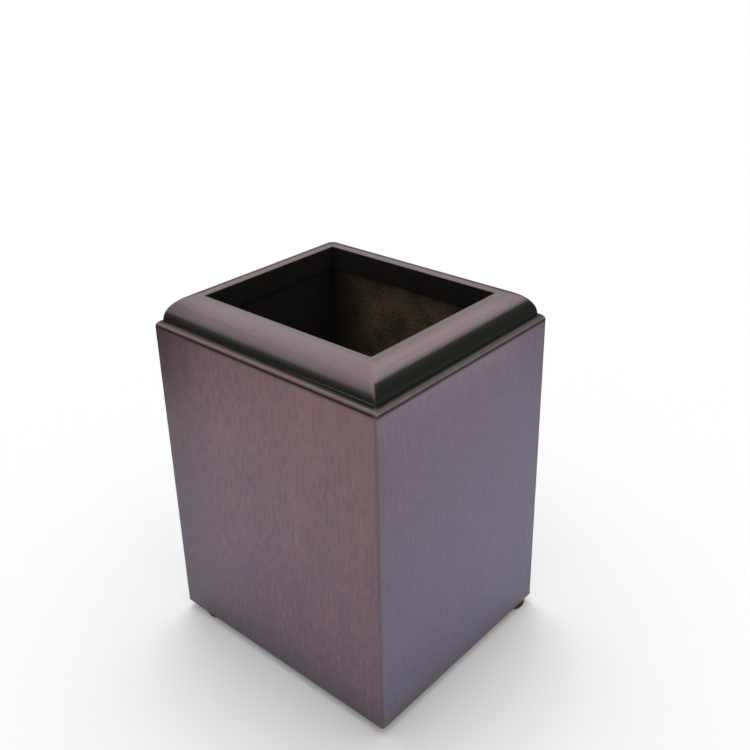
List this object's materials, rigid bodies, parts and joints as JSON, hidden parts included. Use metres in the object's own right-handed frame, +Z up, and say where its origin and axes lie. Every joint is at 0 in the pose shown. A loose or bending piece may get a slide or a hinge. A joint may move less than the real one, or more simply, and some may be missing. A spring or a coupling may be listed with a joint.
{
  "type": "pen holder",
  "caption": "Open box-shaped pen holder of mitred lacquered boards with a quarter-round rim, a flocked lining and domed feet.",
  "frame": {"origin": "centre of the footprint, on the plane that the feet stand on", "axes": "+Z up, +X along the width, front face towards -Y"},
  "size_m": [0.065, 0.057, 0.0847],
  "materials": {
    "lacquered_wood": "dark stained, satin lacquered",
    "plywood": "raw",
    "flocked_card": "matt flocked",
    "bumper_rubber": "matt moulded"
  },
  "bodies": {
    "root": {"base_panel": "plywood", "floor_pad": "flocked_card", "foot_back_left": "bumper_rubber", "foot_back_right": "bumper_rubber", "foot_front_left": "bumper_rubber", "foot_front_right": "bumper_rubber", "key_back_left": "plywood", "key_back_right": "plywood", "key_front_left": "plywood", "key_front_right": "plywood", "lining_back": "flocked_card", "lining_front": "flocked_card", "lining_left": "flocked_card", "lining_right": "flocked_card", "rim_back": "lacquered_wood", "rim_front": "lacquered_wood", "rim_left": "lacquered_wood", "rim_right": "lacquered_wood", "wall_back": "lacquered_wood", "wall_front": "lacquered_wood", "wall_left": "lacquered_wood", "wall_right": "lacquered_wood"}
  },
  "joints": []
}
